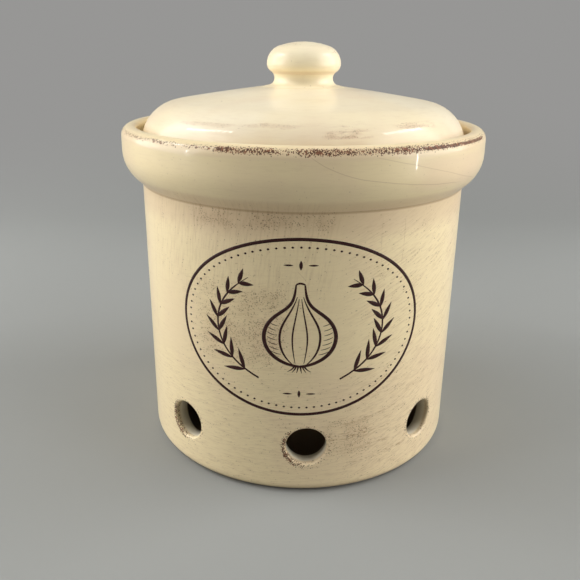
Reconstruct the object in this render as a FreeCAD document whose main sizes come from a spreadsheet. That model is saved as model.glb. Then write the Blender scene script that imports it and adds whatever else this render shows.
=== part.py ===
import FreeCAD, Part
import Sketcher
import math
import os

# A round stoneware garlic keeper, in millimetres.
#
#   jar   the pot itself: a flared rim band with a seat ledge inside it, vent holes, a foot ring
#   lid   a low cone with a round shoulder, hollow underneath, that stands on the seat ledge
#   knob  a solid turned knob with a hollow waist, luted onto the flat middle of the lid
#
# The origin is on the table at the middle of the foot ring and +Z is up. One vent hole faces -Y.

SIZES = [
    # name, value, what it is
    ("base_radius", 56.0, "outside of the wall, carried down to the table"),
    ("neck_radius", 55.3, "outside of the wall at the crease under the rim band"),
    ("neck_height", 93.0, "height of that crease"),
    ("wall", 5.0, "thickness of the side wall"),
    ("floor_thickness", 4.5, "thickness of the floor"),
    ("floor_round", 4.5, "round between the floor and the wall inside"),
    ("foot_recess", 1.5, "how far the underside is hollowed inside the foot ring"),
    ("foot_ring_width", 7.0, "width of the foot ring, up to the outside of the wall"),
    ("foot_round", 3.3, "outer round of the foot"),
    ("foot_inner_bevel", 0.6, "inner bevel of the foot ring"),
    ("rim_overhang", 6.1, "how far the rim band stands out past the neck"),
    ("rim_slope_height", 5.5, "height of the slope under the rim band"),
    ("rim_taper", 0.3, "how far the band draws in towards its lip"),
    ("rim_under_round", 11.5, "full round between that slope and the band"),
    ("crease_round", 0.9, "hollow round of the crease"),
    ("lip_thickness", 4.9, "thickness of the lip round the lid"),
    ("lip_outer_round", 3.2, "outer round of the lip"),
    ("lip_inner_round", 1.4, "inner round of the lip"),
    ("seat_rise", 7.0, "height of the lid's seat above the crease"),
    ("seat_depth", 11.5, "depth of the seat below the lip"),
    ("seat_corner_bevel", 0.6, "hollow bevel where the seat meets the rim"),
    ("seat_edge_round", 1.2, "round where the seat turns down into the jar"),
    ("vent_radius", 6.5, "radius of a vent hole"),
    ("vent_height", 17.4, "height of the vents' centres"),
    ("vent_count", 8, "number of vents round the wall"),
    ("vent_edge_round", 0.8, "soft outer edge of a vent"),
    ("lid_gap", 1.3, "clearance between the lid and the rim, all round"),
    ("lid_height", 23.4, "from the lid's standing face to the knob's seat"),
    ("lid_side", 4.9, "height of the lid's upright side"),
    ("lid_wall", 5.0, "thickness of the lid"),
    ("lid_shoulder_round", 14.0, "round between the lid's side and its sloping top"),
    ("lid_top_round", 750.0, "radius in section of the lid's sloping, nearly straight top"),
    ("lid_edge_bevel", 0.6, "bevel on both edges of the standing face"),
    ("knob_foot_radius", 12.15, "radius of the knob's foot and of its seat on the lid"),
    ("knob_foot_edge", 0.25, "thickness of the foot at its edge"),
    ("knob_waist_round", 2.3, "hollow round of the waist, from the foot's edge up to the head"),
    ("knob_radius", 12.4, "radius of the head where it is widest"),
    ("knob_under_round", 2.9, "round under the widest part"),
    ("knob_side_round", 5.95, "round over the widest part"),
    ("knob_crown_round", 26.6, "radius of the low crown"),
]

# Heights and radii that follow from the sizes above, each written once.
SEAT_HEIGHT = "sizes.neck_height + sizes.seat_rise"
LIP_HEIGHT = f"{SEAT_HEIGHT} + sizes.seat_depth"
FLOOR_HEIGHT = "sizes.foot_recess + sizes.floor_thickness"
FOOT_INNER_RADIUS = "sizes.base_radius - sizes.foot_ring_width"
BAND_RADIUS = "sizes.neck_radius + sizes.rim_overhang"
SLOPE_TOP = "sizes.neck_height + sizes.rim_slope_height"
LIP_RADIUS = f"{BAND_RADIUS} - sizes.rim_taper"
RECESS_RADIUS = f"{LIP_RADIUS} - sizes.lip_thickness"
MOUTH_RADIUS = "sizes.neck_radius - sizes.wall"
INSIDE_RADIUS = "sizes.base_radius - sizes.wall"
LID_RADIUS = f"{RECESS_RADIUS} - sizes.lid_gap"
LID_INSIDE_RADIUS = f"{LID_RADIUS} - sizes.lid_wall"
KNOB_FOOT_HEIGHT = f"{SEAT_HEIGHT} + sizes.lid_height"

# The lip is rounded on both sides, so each round keeps to its own share of the lip's thickness.
OUTER_SHARE, INNER_SHARE = 0.66, 0.32
LIP_OUTER_ROUND = f"min(sizes.lip_outer_round; {OUTER_SHARE} * sizes.lip_thickness)"
LIP_INNER_ROUND = f"min(sizes.lip_inner_round; {INNER_SHARE} * sizes.lip_thickness)"

# The knob's rounds run smoothly into one another from its foot up, and where two circles touch,
# their centres lie as far apart as the rounds add up to, or differ by. That fixes how high above
# the foot the knob is widest, and how far below that the centre of the crown's circle lies.
WAIST_HEIGHT = "sizes.knob_foot_edge + sizes.knob_waist_round"
UNDER_RADIUS = "sizes.knob_radius - sizes.knob_under_round"
SIDE_RADIUS = "sizes.knob_radius - sizes.knob_side_round"
WIDEST_HEIGHT = (
    f"{WAIST_HEIGHT} + sqrt((sizes.knob_waist_round + sizes.knob_under_round)^2"
    f" - (sizes.knob_foot_radius - ({UNDER_RADIUS}))^2)"
)
CROWN_HEIGHT = (
    f"{WIDEST_HEIGHT} - sqrt((sizes.knob_crown_round - sizes.knob_side_round)^2"
    f" - ({SIDE_RADIUS})^2)"
)

# How a sketch names its own origin and the ends of an edge.
ORIGIN_POINT = (-1, 1)
START, END, CENTRE = 1, 2, 3

# Edges are found by where they lie, to within this much.
NEAR = 0.01

doc = FreeCAD.newDocument("garlic_keeper")


def size_sheet():
    """The driving dimensions: a name, a value and a note in each row."""
    sheet = doc.addObject("Spreadsheet::Sheet", "sizes")
    for row, (name, value, note) in enumerate(SIZES, 1):
        sheet.set(f"A{row}", name)
        sheet.set(f"B{row}", str(value))
        sheet.set(f"C{row}", note)
        sheet.setAlias(f"B{row}", name)
    doc.recompute()
    return sheet


sheet = size_sheet()


def number(expression):
    """What an expression over the sheet comes to."""
    return float(sheet.evalExpression(expression))


# --- sketches ------------------------------------------------------------------------------


def sketch_on(body, role, name):
    """An empty sketch on one of the body's own origin planes."""
    sketch = body.newObject("Sketcher::SketchObject", name)
    plane = next(item for item in body.Origin.OriginFeatures if item.Role == role)
    sketch.AttachmentSupport = (plane, [""])
    sketch.MapMode = "FlatFace"
    return sketch


def measure(sketch, kind, expression, *where):
    """A dimension of the sketch that follows the sheet."""
    row = sketch.addConstraint(Sketcher.Constraint(kind, *where, number(expression)))
    sketch.setExpression(f"Constraints[{row}]", expression)


def locate(sketch, edge, end, across=None, up=None):
    """Hold one end of an edge at these distances from the origin; "0" lines it up with it."""
    for distance, level, expression in (("DistanceX", "Vertical", across),
                                        ("DistanceY", "Horizontal", up)):
        if expression == "0":
            sketch.addConstraint(Sketcher.Constraint(level, *ORIGIN_POINT, edge, end))
        elif expression is not None:
            measure(sketch, distance, expression, *ORIGIN_POINT, edge, end)


def join(sketch, kind, first, second):
    """Join the end of one edge to the start of the next, as a corner or smoothly."""
    sketch.addConstraint(Sketcher.Constraint(kind, first, END, second, START))


def line(sketch, start, end):
    return sketch.addGeometry(Part.LineSegment(FreeCAD.Vector(*start), FreeCAD.Vector(*end)), False)


def arc(sketch, centre, radius, start, end):
    """An arc about a centre, anticlockwise from one angle to the other, in radians."""
    circle = Part.Circle(FreeCAD.Vector(*centre), FreeCAD.Vector(0, 0, 1), radius)
    return sketch.addGeometry(Part.ArcOfCircle(circle, start, end), False)


def outline(sketch, corners):
    """A closed outline with straight sides; each corner is held by two expressions."""
    points = [(number(across), number(up)) for across, up in corners]
    sides = [line(sketch, point, points[(turn + 1) % len(points)]) for turn, point in enumerate(points)]
    for turn, side in enumerate(sides):
        locate(sketch, side, START, *corners[turn])
        join(sketch, "Coincident", side, sides[(turn + 1) % len(sides)])


# --- features ------------------------------------------------------------------------------


def revolve(body, sketch, name):
    """Turn a section once round the upright axis of its sketch."""
    feature = body.newObject("PartDesign::Revolution", name)
    feature.Profile = sketch
    feature.ReferenceAxis = (sketch, ["V_Axis"])
    feature.Angle = 360.0
    doc.recompute()
    return feature


def rings(feature, across, up):
    """Names of the feature's round edges of this radius at this height."""
    radius, height = number(across), number(up)
    names = []
    for count, edge in enumerate(feature.Shape.Edges, 1):
        if edge.Degenerated or not isinstance(edge.Curve, Part.Circle):
            continue
        if abs(edge.Curve.Radius - radius) < NEAR and abs(edge.Curve.Center.z - height) < NEAR:
            names.append(f"Edge{count}")
    return names


def soften(body, base, edges, kind, amount, name):
    """Fillet or chamfer these edges of the base feature."""
    if not edges:
        raise RuntimeError(f"{name} found no edge to soften")
    feature = body.newObject(f"PartDesign::{kind}", name)
    feature.Base = (base, edges)
    feature.setExpression({"Fillet": "Radius", "Chamfer": "Size"}[kind], amount)
    doc.recompute()
    return feature


def soften_rings(body, base, kind, edges):
    """Soften one ring after another; each has a name, its radius and height, and its size."""
    for name, across, up, amount in edges:
        base = soften(body, base, rings(base, across, up), kind, amount, name)
    return base


def new_body(label, height):
    """A body for one piece, standing at this height."""
    body = doc.addObject("PartDesign::Body", label + "_body")
    body.Label = label
    body.setExpression("Placement.Base.z", height)
    return body


# --- jar -----------------------------------------------------------------------------------


def jar_section(body):
    """The pot in section: foot ring, wall, crease, rim band, lip, seat ledge, inside, floor."""
    sketch = sketch_on(body, "XZ_Plane", "jar_section")
    outline(sketch, [
        ("0", "sizes.foot_recess"),
        (FOOT_INNER_RADIUS, "sizes.foot_recess"),
        (FOOT_INNER_RADIUS, "0"),
        ("sizes.base_radius", "0"),
        ("sizes.neck_radius", "sizes.neck_height"),
        (BAND_RADIUS, SLOPE_TOP),
        (LIP_RADIUS, LIP_HEIGHT),
        (RECESS_RADIUS, LIP_HEIGHT),
        (RECESS_RADIUS, SEAT_HEIGHT),
        (MOUTH_RADIUS, SEAT_HEIGHT),
        (INSIDE_RADIUS, FLOOR_HEIGHT),
        ("0", FLOOR_HEIGHT),
    ])
    return sketch


def cut_vents(body):
    """One vent through the wall towards -Y, then the same cut all round."""
    uncut = body.Tip.Shape.Volume
    sketch = sketch_on(body, "XZ_Plane", "vent_sketch")
    hole = Part.Circle(FreeCAD.Vector(0, number("sizes.vent_height"), 0), FreeCAD.Vector(0, 0, 1),
                       number("sizes.vent_radius"))
    circle = sketch.addGeometry(hole, False)
    locate(sketch, circle, CENTRE, "0", "sizes.vent_height")
    measure(sketch, "Radius", "sizes.vent_radius", circle)

    vent = body.newObject("PartDesign::Pocket", "vent")
    vent.Profile = sketch
    vent.Type = "ThroughAll"
    vent.Reversed = True
    doc.recompute()
    one_vent = uncut - vent.Shape.Volume

    vents = body.newObject("PartDesign::PolarPattern", "vents")
    vents.Originals = [vent]
    vents.Axis = (sketch, ["V_Axis"])
    vents.Angle = 360.0
    vents.setExpression("Occurrences", "sizes.vent_count")
    body.Tip = vents
    doc.recompute()
    all_vents = uncut - vents.Shape.Volume
    if one_vent <= 0 or abs(all_vents - one_vent * number("sizes.vent_count")) > NEAR * one_vent:
        raise RuntimeError("the vents did not all cut the wall")
    return vents


def vent_outer_edges(feature):
    """Names of the edges where the vents break through the outside of the wall."""
    mid_wall = number("sizes.base_radius - 0.5 * sizes.wall")
    reach = number("sizes.vent_radius") + NEAR
    low, high = number("sizes.vent_height") - reach, number("sizes.vent_height") + reach
    names = []
    for count, edge in enumerate(feature.Shape.Edges, 1):
        box = edge.BoundBox
        if box.ZMin < low or box.ZMax > high or isinstance(edge.Curve, Part.Line):
            continue
        first = edge.Vertexes[0].Point
        if math.hypot(first.x, first.y) > mid_wall:
            names.append(f"Edge{count}")
    return names


def make_jar():
    body = new_body("jar", "0")
    pot = revolve(body, jar_section(body), "pot")
    rounded = soften_rings(body, pot, "Fillet", [
        ("foot_outer", "sizes.base_radius", "0", "sizes.foot_round"),
        ("floor_corner", INSIDE_RADIUS, FLOOR_HEIGHT, "sizes.floor_round"),
        ("rim_under", BAND_RADIUS, SLOPE_TOP, "sizes.rim_under_round"),
        ("crease", "sizes.neck_radius", "sizes.neck_height", "sizes.crease_round"),
        ("lip_outer", LIP_RADIUS, LIP_HEIGHT, LIP_OUTER_ROUND),
        ("lip_inner", RECESS_RADIUS, LIP_HEIGHT, LIP_INNER_ROUND),
        ("seat_edge", MOUTH_RADIUS, SEAT_HEIGHT, "sizes.seat_edge_round"),
    ])
    soften_rings(body, rounded, "Chamfer", [
        ("foot_inner", FOOT_INNER_RADIUS, "0", "sizes.foot_inner_bevel"),
        ("seat_corner", RECESS_RADIUS, SEAT_HEIGHT, "sizes.seat_corner_bevel"),
    ])
    vents = cut_vents(body)
    soften(body, vents, vent_outer_edges(vents), "Fillet", "sizes.vent_edge_round", "vent_edges")
    return body


# --- lid -----------------------------------------------------------------------------------


def top_centre(shoulder):
    """Centre of the sloping top's arc, which meets the knob's seat and touches the shoulder."""
    seat = FreeCAD.Vector(number("sizes.knob_foot_radius"), number("sizes.lid_height"), 0)
    from_shoulder = number("sizes.lid_top_round - sizes.lid_shoulder_round")
    from_seat = number("sizes.lid_top_round")
    apart = shoulder.distanceToPoint(seat)
    along = (from_shoulder ** 2 - from_seat ** 2 + apart ** 2) / (2 * apart)
    aside = math.sqrt(from_shoulder ** 2 - along ** 2)
    towards = (seat - shoulder) / apart
    return shoulder + towards * along + FreeCAD.Vector(-towards.y, towards.x, 0) * aside


def angle_from(centre, point):
    return math.atan2(point.y - centre.y, point.x - centre.x)


def lid_section(body):
    """The lid in section: standing face, side, shoulder, slope and knob seat, then the hollow."""
    sketch = sketch_on(body, "XZ_Plane", "lid_section")
    radius, side, height = number(LID_RADIUS), number("sizes.lid_side"), number("sizes.lid_height")
    wall, seat = number("sizes.lid_wall"), number("sizes.knob_foot_radius")
    shoulder_round, top_round = number("sizes.lid_shoulder_round"), number("sizes.lid_top_round")
    shoulder = FreeCAD.Vector(radius - shoulder_round, side, 0)
    centre = top_centre(shoulder)
    meet = angle_from(centre, shoulder)
    crest = angle_from(centre, FreeCAD.Vector(seat, height, 0))
    hollow_crest = math.acos((seat - centre.x) / (top_round - wall))
    ceiling = centre.y + (top_round - wall) * math.sin(hollow_crest)

    standing = line(sketch, (radius - wall, 0), (radius, 0))
    upright = line(sketch, (radius, 0), (radius, side))
    outer_shoulder = arc(sketch, shoulder, shoulder_round, 0, meet)
    outer_slope = arc(sketch, centre, top_round, meet, crest)
    knob_seat = line(sketch, (seat, height), (0, height))
    middle = line(sketch, (0, height), (0, ceiling))
    inner_ceiling = line(sketch, (0, ceiling), (seat, ceiling))
    inner_slope = arc(sketch, centre, top_round - wall, meet, hollow_crest)
    inner_shoulder = arc(sketch, shoulder, shoulder_round - wall, 0, meet)
    inner_side = line(sketch, (radius - wall, side), (radius - wall, 0))

    join(sketch, "Coincident", standing, upright)
    join(sketch, "Tangent", upright, outer_shoulder)
    join(sketch, "Tangent", outer_shoulder, outer_slope)
    join(sketch, "Coincident", outer_slope, knob_seat)
    join(sketch, "Coincident", knob_seat, middle)
    join(sketch, "Coincident", middle, inner_ceiling)
    join(sketch, "Coincident", inner_side, standing)
    sketch.addConstraint(Sketcher.Constraint("Coincident", inner_ceiling, END, inner_slope, END))
    sketch.addConstraint(Sketcher.Constraint("Tangent", inner_slope, START, inner_shoulder, END))
    sketch.addConstraint(Sketcher.Constraint("Tangent", inner_shoulder, START, inner_side, START))
    sketch.addConstraint(
        Sketcher.Constraint("Coincident", inner_slope, CENTRE, outer_slope, CENTRE))
    sketch.addConstraint(
        Sketcher.Constraint("Coincident", inner_shoulder, CENTRE, outer_shoulder, CENTRE))
    sketch.addConstraint(Sketcher.Constraint("Horizontal", inner_ceiling))
    sketch.addConstraint(Sketcher.Constraint("Vertical", upright))
    sketch.addConstraint(Sketcher.Constraint("Vertical", inner_side))

    locate(sketch, upright, START, LID_RADIUS, "0")
    locate(sketch, upright, END, None, "sizes.lid_side")
    locate(sketch, standing, START, LID_INSIDE_RADIUS, "0")
    locate(sketch, knob_seat, START, "sizes.knob_foot_radius", "sizes.lid_height")
    locate(sketch, knob_seat, END, "0", "sizes.lid_height")
    locate(sketch, inner_ceiling, START, "0", None)
    locate(sketch, inner_slope, END, "sizes.knob_foot_radius", None)
    measure(sketch, "Radius", "sizes.lid_shoulder_round", outer_shoulder)
    measure(sketch, "Radius", "sizes.lid_top_round", outer_slope)
    return sketch


def make_lid():
    body = new_body("lid", SEAT_HEIGHT)
    cover = revolve(body, lid_section(body), "cover")
    soften_rings(body, cover, "Chamfer", [
        ("standing_outer", LID_RADIUS, "0", "sizes.lid_edge_bevel"),
        ("standing_inner", LID_INSIDE_RADIUS, "0", "sizes.lid_edge_bevel"),
    ])
    return body


# --- knob ----------------------------------------------------------------------------------


def knob_section(body):
    """The knob in section: flat sole, thin edge, hollow waist, round head and low crown."""
    sketch = sketch_on(body, "XZ_Plane", "knob_section")
    foot, edge_height = number("sizes.knob_foot_radius"), number("sizes.knob_foot_edge")
    waist_round, waist_height = number("sizes.knob_waist_round"), number(WAIST_HEIGHT)
    under_round, under_radius = number("sizes.knob_under_round"), number(UNDER_RADIUS)
    side_round, side_radius = number("sizes.knob_side_round"), number(SIDE_RADIUS)
    crown_round, crown_height = number("sizes.knob_crown_round"), number(CROWN_HEIGHT)
    widest, top = number(WIDEST_HEIGHT), crown_height + crown_round
    neck_turn = math.atan2(widest - waist_height, foot - under_radius)
    crown_turn = math.atan2(widest - crown_height, side_radius)

    sole = line(sketch, (0, 0), (foot, 0))
    edge = line(sketch, (foot, 0), (foot, edge_height))
    waist = arc(sketch, (foot, waist_height), waist_round, math.pi - neck_turn, 3 * math.pi / 2)
    under = arc(sketch, (under_radius, widest), under_round, -neck_turn, 0)
    side = arc(sketch, (side_radius, widest), side_round, 0, crown_turn)
    crown = arc(sketch, (0, crown_height), crown_round, crown_turn, math.pi / 2)
    middle = line(sketch, (0, top), (0, 0))

    join(sketch, "Coincident", sole, edge)
    join(sketch, "Tangent", under, side)
    join(sketch, "Tangent", side, crown)
    join(sketch, "Coincident", crown, middle)
    join(sketch, "Coincident", middle, sole)
    sketch.addConstraint(Sketcher.Constraint("Coincident", edge, END, waist, END))
    sketch.addConstraint(Sketcher.Constraint("Tangent", waist, START, under, START))
    sketch.addConstraint(Sketcher.Constraint("Vertical", waist, CENTRE, waist, END))
    sketch.addConstraint(Sketcher.Constraint("Horizontal", under, CENTRE, under, END))

    locate(sketch, sole, START, "0", "0")
    locate(sketch, sole, END, "sizes.knob_foot_radius", "0")
    locate(sketch, edge, END, "sizes.knob_foot_radius", "sizes.knob_foot_edge")
    locate(sketch, under, END, "sizes.knob_radius", None)
    locate(sketch, crown, CENTRE, "0", None)
    locate(sketch, crown, END, "0", None)
    measure(sketch, "Radius", "sizes.knob_waist_round", waist)
    measure(sketch, "Radius", "sizes.knob_under_round", under)
    measure(sketch, "Radius", "sizes.knob_side_round", side)
    measure(sketch, "Radius", "sizes.knob_crown_round", crown)
    return sketch


def make_knob():
    body = new_body("knob", KNOB_FOOT_HEIGHT)
    revolve(body, knob_section(body), "head")
    return body


# --- build, check and write ----------------------------------------------------------------


def check(bodies):
    """Stop before anything is written if a feature failed or a piece is not one valid solid."""
    for item in doc.Objects:
        if "Invalid" in item.State or "Error" in item.State:
            raise RuntimeError(f"{item.Name} failed: {item.State}")
        if item.TypeId == "Sketcher::SketchObject" and not item.FullyConstrained:
            raise RuntimeError(f"{item.Name} is not fully constrained")
    for body in bodies:
        shape = body.Shape
        if shape.isNull() or not shape.isValid() or len(shape.Solids) != 1:
            raise RuntimeError(f"{body.Label} is not one valid solid")


def write(bodies):
    os.makedirs("parts", exist_ok=True)
    for body in bodies:
        body.Shape.exportStep(f"parts/{body.Label}.step")
        box = body.Shape.BoundBox
        print(f"{body.Label}: {body.Shape.Volume / 1000:.1f} cm3, "
              f"{box.XLength:.1f} x {box.YLength:.1f} x {box.ZLength:.1f} mm, "
              f"from z {box.ZMin:.1f} to {box.ZMax:.1f}")


pieces = [make_jar(), make_lid(), make_knob()]
doc.recompute()
check(pieces)
write(pieces)
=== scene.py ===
# %% [markdown]
# # A cream glazed garlic keeper
#
# This lesson dresses a small glazed jar: a round pot with a rolled rim band and eight air
# vents, a low round-shouldered lid that sits down inside the rim, and a knob on top of the
# lid. All three are turned forms, so each one starts as half a section that is spun round the
# upright axis.
# The finish is what makes it look real: a glossy cream glaze, rubbed back to brown along the
# edges, with specks, drag marks and hairline crazing, and a printed oval on the front.
#
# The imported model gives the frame: every new piece lies where its solid lies, in metres.

# %% Load the frame
import math

import bmesh
import bpy
from mathutils import Matrix, Vector


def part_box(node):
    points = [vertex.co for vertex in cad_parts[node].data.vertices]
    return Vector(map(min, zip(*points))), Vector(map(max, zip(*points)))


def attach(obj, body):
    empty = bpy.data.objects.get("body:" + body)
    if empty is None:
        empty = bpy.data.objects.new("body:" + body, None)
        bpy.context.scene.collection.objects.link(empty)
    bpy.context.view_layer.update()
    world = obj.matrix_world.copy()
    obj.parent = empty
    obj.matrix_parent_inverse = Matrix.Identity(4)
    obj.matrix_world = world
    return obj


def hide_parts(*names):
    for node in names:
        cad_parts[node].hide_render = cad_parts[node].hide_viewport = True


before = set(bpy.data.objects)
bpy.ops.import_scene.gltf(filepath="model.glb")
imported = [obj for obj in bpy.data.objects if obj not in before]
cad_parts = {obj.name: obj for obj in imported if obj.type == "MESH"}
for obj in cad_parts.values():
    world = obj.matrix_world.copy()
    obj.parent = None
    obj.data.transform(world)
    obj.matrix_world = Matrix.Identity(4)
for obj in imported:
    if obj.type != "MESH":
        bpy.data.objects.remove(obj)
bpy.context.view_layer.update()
MM = 0.001

# %% [markdown]
# ## The sizes
#
# A potter works from a few sizes: how wide the pot is at its foot and neck, how far the rim
# rolls out, how thick the clay is. They are written once, in millimetres, and every section
# below is drawn from them. The boxes of the solids are printed beside them as a check.

# %% Sizes in millimetres
BASE_RADIUS, NECK_RADIUS, NECK_HEIGHT = 56.0, 55.3, 93.0
WALL, FLOOR_TOP, FLOOR_ROUND = 5.0, 6.0, 4.5
FOOT_RECESS, FOOT_RING, FOOT_ROUND = 1.5, 7.0, 3.3
BAND_RADIUS, SLOPE_TOP, BAND_ROUND = 61.4, 98.5, 11.5
LIP_RADIUS, LIP_HEIGHT, LIP_WALL = 61.1, 111.5, 4.9
LIP_OUTER_ROUND, LIP_INNER_ROUND = 3.2, 1.4
SEAT_HEIGHT = 100.0
VENT_COUNT, VENT_RADIUS, VENT_HEIGHT, VENT_EDGE = 8, 6.5, 17.4, 0.8
LID_RADIUS, LID_SIDE, LID_RISE, LID_WALL = 54.9, 4.9, 23.4, 5.0
SHOULDER_ROUND, TOP_ROUND = 14.0, 750.0
KNOB_FOOT, KNOB_EDGE, KNOB_WAIST, KNOB_RADIUS = 12.15, 0.25, 2.3, 12.4
KNOB_UNDER, KNOB_SIDE, KNOB_CROWN = 2.9, 5.95, 26.6
KNOB_BASE = SEAT_HEIGHT + LID_RISE
for node in ("jar", "lid", "knob"):
    low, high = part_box(node)
    print(node, "spans", [round(v / MM, 1) for v in (*low, *high)], "mm")

# %% [markdown]
# ## Drawing a section
#
# Half a section is a line of corners, and clay has no sharp ones: each corner gets a round.
# `rounded` replaces a corner by an arc that touches both of its straight runs, and divides
# long runs, so that the mesh has short, nearly square faces all over. Short faces matter on
# a glossy piece, because a reflection shows every long sliver.


# %% Rounded sections
ARC_STEP = math.radians(9)


def arc_points(centre, radius, start, end):
    """Points along an arc about a centre, from one angle to the other."""
    count = max(2, math.ceil(abs(end - start) / ARC_STEP))
    turns = [start + (end - start) * i / count for i in range(count + 1)]
    return [(centre[0] + radius * math.cos(a), centre[1] + radius * math.sin(a)) for a in turns]


def corner_arc(before, corner, after, radius):
    """The arc that rounds one corner, or the corner itself where it has no round."""
    here, back, on = Vector(corner), Vector(before) - Vector(corner), Vector(after) - Vector(corner)
    if radius <= 0:
        return [tuple(here)]
    back.normalize()
    on.normalize()
    half = back.angle(on) / 2
    centre = here + (back + on).normalized() * (radius / math.sin(half))
    first = here + back * (radius / math.tan(half)) - centre
    last = here + on * (radius / math.tan(half)) - centre
    start = math.atan2(first.y, first.x)
    sweep = math.remainder(math.atan2(last.y, last.x) - start, math.tau)
    return arc_points(centre, radius, start, start + sweep)


def divided(points, longest):
    """The same line with its long runs cut into equal steps."""
    out = [points[0]]
    for (x0, y0), (x1, y1) in zip(points, points[1:]):
        count = max(1, math.ceil(math.hypot(x1 - x0, y1 - y0) / longest - 1e-6))
        out += [(x0 + (x1 - x0) * i / count, y0 + (y1 - y0) * i / count)
                for i in range(1, count + 1)]
    return out


def rounded(corners, longest):
    """A section from corners of radius, height and round."""
    line = [corners[0][:2]]
    for before, corner, after in zip(corners, corners[1:], corners[2:]):
        line += corner_arc(before[:2], corner[:2], after[:2], corner[2])
    line.append(corners[-1][:2])
    return divided(line, longest)


# %% [markdown]
# ## Spinning a section
#
# The section is laid in as loose vertices and edges, and `bmesh.ops.spin` turns it round the
# axis. Where the section meets the axis, the spin leaves a stack of doubles, which are merged
# into one pole. The faces are then turned outwards, because a spin can leave them inside out.


# %% Spin helper
def spun(section, columns):
    """A bmesh of the section turned once round the upright axis, in metres."""
    bm = bmesh.new()
    points = [bm.verts.new((x * MM, 0, z * MM)) for x, z in section]
    edges = [bm.edges.new(pair) for pair in zip(points, points[1:])]
    if section[0][0] > 0:
        edges.append(bm.edges.new((points[-1], points[0])))
    bmesh.ops.spin(bm, geom=points + edges, cent=(0, 0, 0), axis=(0, 0, 1), dvec=(0, 0, 0),
                   angle=math.tau, steps=columns, use_merge=True, use_duplicate=False)
    bmesh.ops.remove_doubles(bm, verts=bm.verts, dist=0.01 * MM)
    bmesh.ops.recalc_face_normals(bm, faces=bm.faces)
    return bm


def finished(bm, name, body, slot_name, *nodes):
    """The bmesh as a smooth object that rides on its body and stands for its solids."""
    mesh = bpy.data.meshes.new(name)
    bm.to_mesh(mesh)
    bm.free()
    mesh.shade_smooth()
    piece = bpy.data.objects.new(name, mesh)
    bpy.context.scene.collection.objects.link(piece)
    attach(piece, body)
    if nodes:
        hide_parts(*nodes)
    print(name, len(mesh.vertices), "vertices,", len(mesh.polygons), "faces")
    return piece


# %% [markdown]
# ## The pot
#
# On the wheel the pot is one pull of clay: a foot ring, a nearly straight wall, a crease, a
# band rolled outwards, and inside the band a ledge that carries the lid. The wall leans in by
# less than a millimetre. Round each vent the section has a few rows of its own, a patch that
# the next step opens.


# %% Spin the pot
COLUMNS = 256
ROW = 1.35
PATCH_STEPS = 7
HOLE_LEVEL = 5 / 7
OUTER_PATCH = 9.2
INNER_PATCH = VENT_HEIGHT - FLOOR_TOP - FLOOR_ROUND


def outside_radius(height):
    return BASE_RADIUS + (NECK_RADIUS - BASE_RADIUS) * height / NECK_HEIGHT


def inside_radius(height):
    lean = (height - FLOOR_TOP) / (SEAT_HEIGHT - FLOOR_TOP)
    return BASE_RADIUS - WALL + (NECK_RADIUS - BASE_RADIUS) * lean


def patch_rows(radius_at, half_height):
    """Corners of the wall's section at each row of a vent's patch, from the lowest row up."""
    heights = [VENT_HEIGHT + half_height * step / PATCH_STEPS
               for step in range(-PATCH_STEPS, PATCH_STEPS + 1)]
    return [(radius_at(height), height, 0) for height in heights]


recess_radius = LIP_RADIUS - LIP_WALL
pot_section = rounded([
    (0, FOOT_RECESS, 0),
    (BASE_RADIUS - FOOT_RING, FOOT_RECESS, 0.5),
    (BASE_RADIUS - FOOT_RING, 0, 0.8),
    (BASE_RADIUS, 0, FOOT_ROUND),
    *patch_rows(outside_radius, OUTER_PATCH),
    (NECK_RADIUS, NECK_HEIGHT, 0.9),
    (BAND_RADIUS, SLOPE_TOP, BAND_ROUND),
    (LIP_RADIUS, LIP_HEIGHT, LIP_OUTER_ROUND),
    (recess_radius, LIP_HEIGHT, LIP_INNER_ROUND),
    (recess_radius, SEAT_HEIGHT, 0.8),
    (NECK_RADIUS - WALL, SEAT_HEIGHT, 1.2),
    *reversed(patch_rows(inside_radius, INNER_PATCH)),
    (BASE_RADIUS - WALL, FLOOR_TOP, FLOOR_ROUND - 0.2),
    (0, FLOOR_TOP, 0),
], ROW)
pot = spun(pot_section, COLUMNS)
print("the pot's section has", len(pot_section), "points")

# %% [markdown]
# ## Cutting the vents
#
# A Boolean would leave ragged faces round each hole. Instead, the square patch of faces round
# a vent is pulled into rings that pass from the square to a true circle, the middle is
# deleted, the outer circle is bridged to the inner one to make the bore, and the outer edge
# is bevelled soft, as a potter sponges it. The clay of a real vent is cut the same way: one
# straight hole through the leather-hard wall.


# %% Cut and soften the vents
half_angle = math.tau * PATCH_STEPS / COLUMNS


def patch_place(vert, heading, radius_at, half_height):
    """Where a vertex lies in a vent's patch: its level, and its two shares of the half size."""
    around = math.remainder(math.atan2(vert.co.y, vert.co.x) - heading, math.tau)
    across, up = around / half_angle, (vert.co.z / MM - VENT_HEIGHT) / half_height
    off_wall = abs(math.hypot(vert.co.x, vert.co.y) / MM - radius_at(vert.co.z / MM))
    return max(abs(across), abs(up)) if off_wall < 0.3 else math.inf, across, up


def ring_point(level, across, up, radius, half_height):
    """The sideways and upward place of a patch vertex once its square ring is made round."""
    if abs(across) > abs(up):
        turn = math.pi / 4 * up / across + (math.pi if across < 0 else 0)
    else:
        turn = math.copysign(math.pi / 2, up) - math.pi / 4 * across / up
    circle = Vector((math.cos(turn), math.sin(turn))) * VENT_RADIUS
    border = Vector((radius * math.sin(half_angle * across / level), half_height * up / level))
    return circle.lerp(border, (level - HOLE_LEVEL) / (1 - HOLE_LEVEL))


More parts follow.
